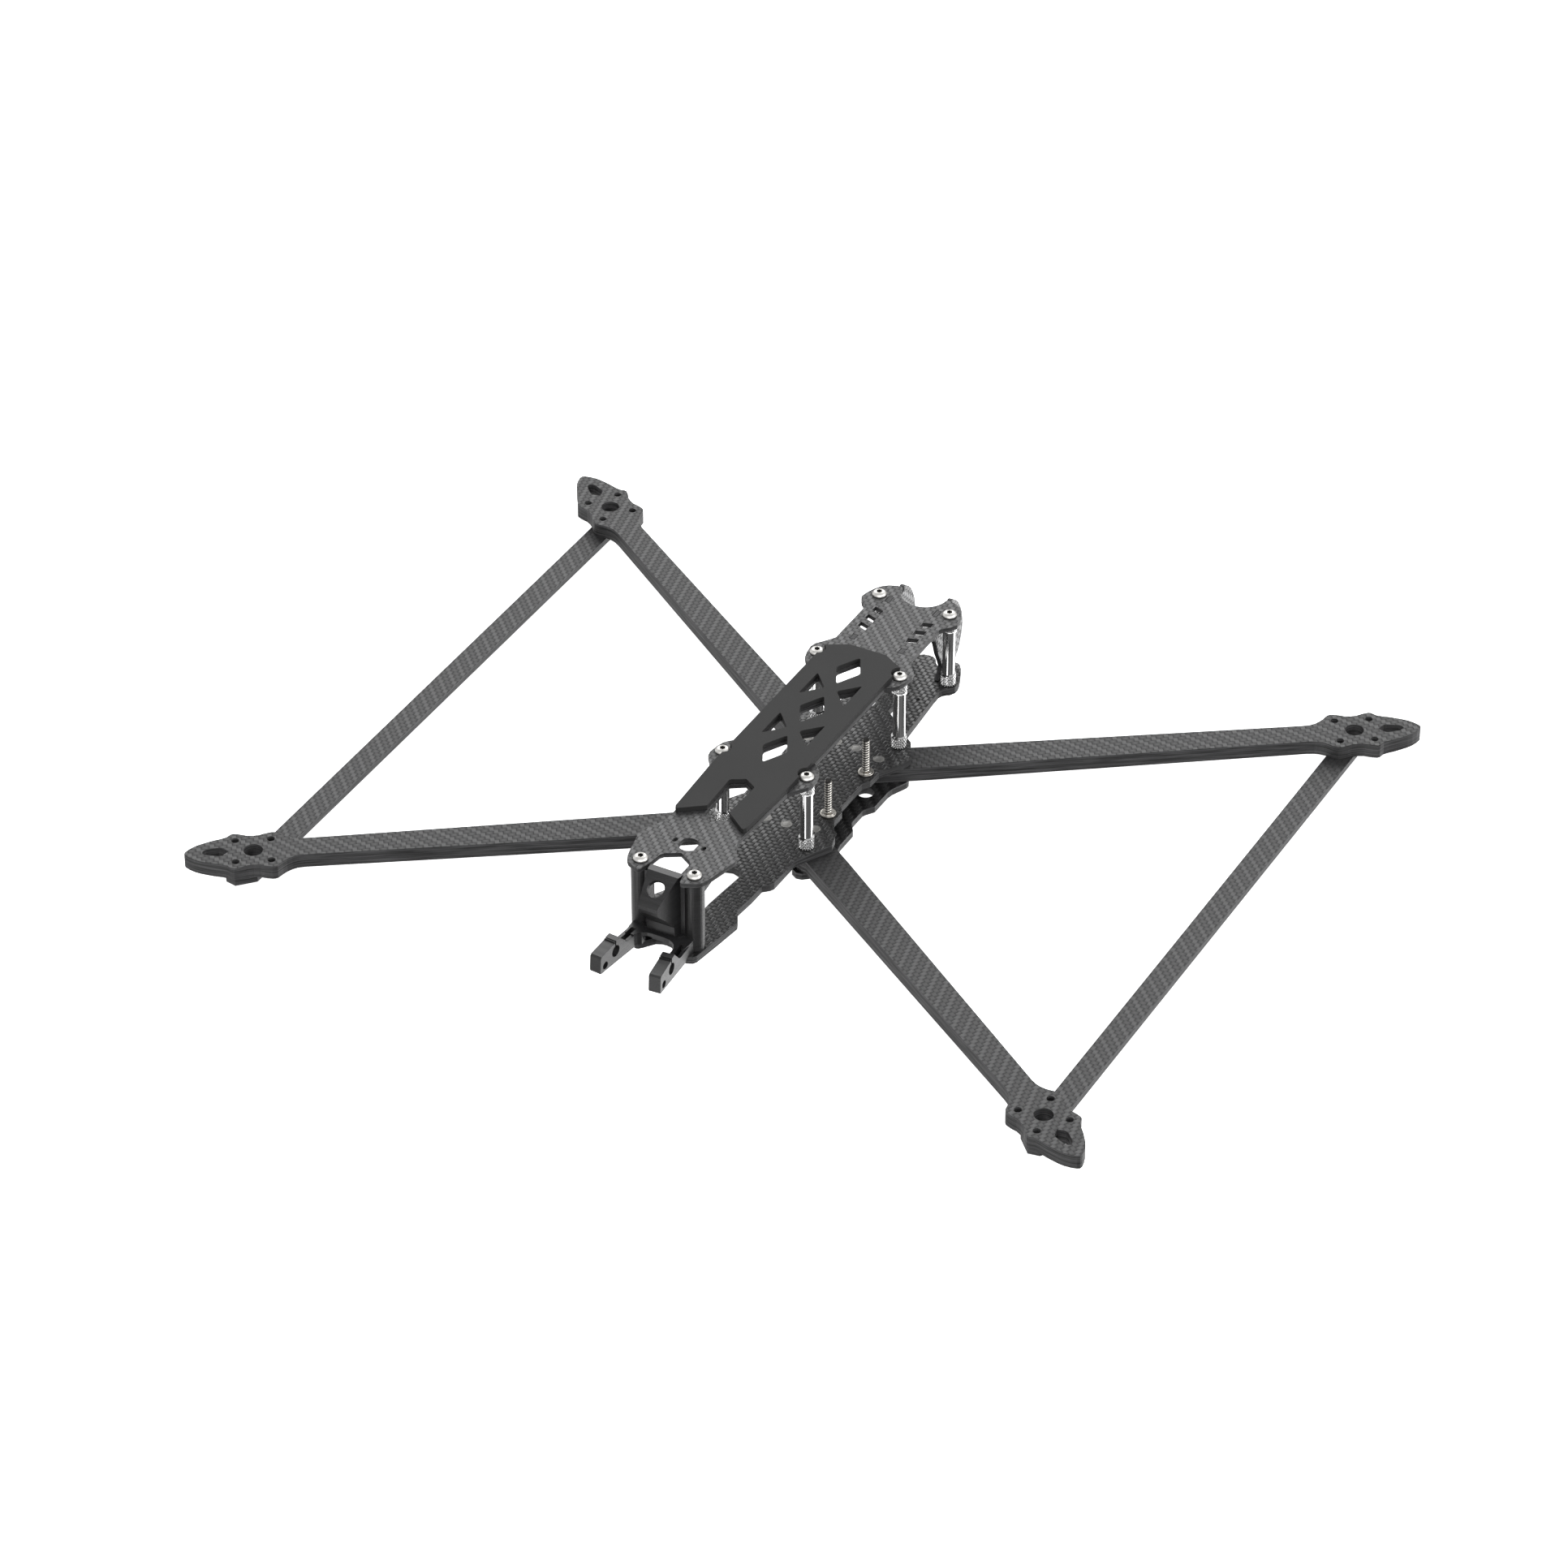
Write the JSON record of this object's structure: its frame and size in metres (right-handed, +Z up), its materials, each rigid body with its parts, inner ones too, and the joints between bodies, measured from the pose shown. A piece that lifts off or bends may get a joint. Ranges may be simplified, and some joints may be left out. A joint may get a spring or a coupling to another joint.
{
  "type": "quadcopter drone",
  "caption": "Bare carbon-fibre quadcopter airframe: clamped arms with motor heads, side braces, stacked plates on standoffs, battery pad and nose camera fork.",
  "frame": {"origin": "centre of the bounding box in plan, at the level of the lowest screw heads", "axes": "+X is the long side, across the airframe, which is symmetric about X = 0, and nodes named left are on that side; the nose and camera fork point to -Y and the tail to +Y; +Z is up out of the battery pad"},
  "size_m": [0.375, 0.3008, 0.0477],
  "materials": {
    "carbon_fibre": "twill-weave carbon-fibre plate, satin resin face, milled edges with fine laminate lines",
    "pad_rubber": "matte non-slip pad",
    "moulded_black": "flexible black plastic, printed or moulded, with fine layer lines",
    "stainless_steel": "bright stainless fasteners",
    "polished_aluminium": "polished round standoffs with knurled ends"
  },
  "bodies": {
    "root": {"bottom_plate": "carbon_fibre", "mid_plate": "carbon_fibre", "top_plate": "carbon_fibre", "battery_pad": "pad_rubber", "camera_mount": "moulded_black", "arm_front_left": "carbon_fibre", "arm_front_right": "carbon_fibre", "arm_rear_left": "carbon_fibre", "arm_rear_right": "carbon_fibre", "side_brace_left": "carbon_fibre", "side_brace_right": "carbon_fibre", "tail_guard_left": "carbon_fibre", "tail_guard_right": "carbon_fibre", "standoff_front_left": "polished_aluminium", "standoff_front_right": "polished_aluminium", "standoff_rear_left": "polished_aluminium", "standoff_rear_right": "polished_aluminium", "standoff_tail_left": "polished_aluminium", "standoff_tail_right": "polished_aluminium", "screw_top_front_left": "stainless_steel", "screw_top_front_right": "stainless_steel", "screw_top_rear_left": "stainless_steel", "screw_top_rear_right": "stainless_steel", "screw_base_front_left": "stainless_steel", "screw_base_front_right": "stainless_steel", "screw_base_rear_left": "stainless_steel", "screw_base_rear_right": "stainless_steel", "screw_clamp_inner_front_left": "stainless_steel", "screw_clamp_inner_front_right": "stainless_steel", "screw_clamp_inner_rear_left": "stainless_steel", "screw_clamp_inner_rear_right": "stainless_steel", "screw_clamp_outer_front_left": "stainless_steel", "screw_clamp_outer_front_right": "stainless_steel", "screw_clamp_outer_rear_left": "stainless_steel", "screw_clamp_outer_rear_right": "stainless_steel", "insert_inner_front_left": "stainless_steel", "insert_inner_front_right": "stainless_steel", "insert_inner_rear_left": "stainless_steel", "insert_inner_rear_right": "stainless_steel", "insert_outer_front_left": "stainless_steel", "insert_outer_front_right": "stainless_steel", "insert_outer_rear_left": "stainless_steel", "insert_outer_rear_right": "stainless_steel", "stack_screw_front_left": "stainless_steel", "stack_screw_front_right": "stainless_steel", "stack_screw_rear_left": "stainless_steel", "stack_screw_rear_right": "stainless_steel", "stack_nut_front_left": "stainless_steel", "stack_nut_front_right": "stainless_steel", "stack_nut_rear_left": "stainless_steel", "stack_nut_rear_right": "stainless_steel", "screw_top_tail_left": "stainless_steel", "screw_top_tail_right": "stainless_steel", "screw_top_nose_left": "stainless_steel", "screw_top_nose_right": "stainless_steel", "screw_base_tail_left": "stainless_steel", "screw_base_tail_right": "stainless_steel", "screw_base_nose_left": "stainless_steel", "screw_base_nose_right": "stainless_steel"}
  },
  "joints": []
}
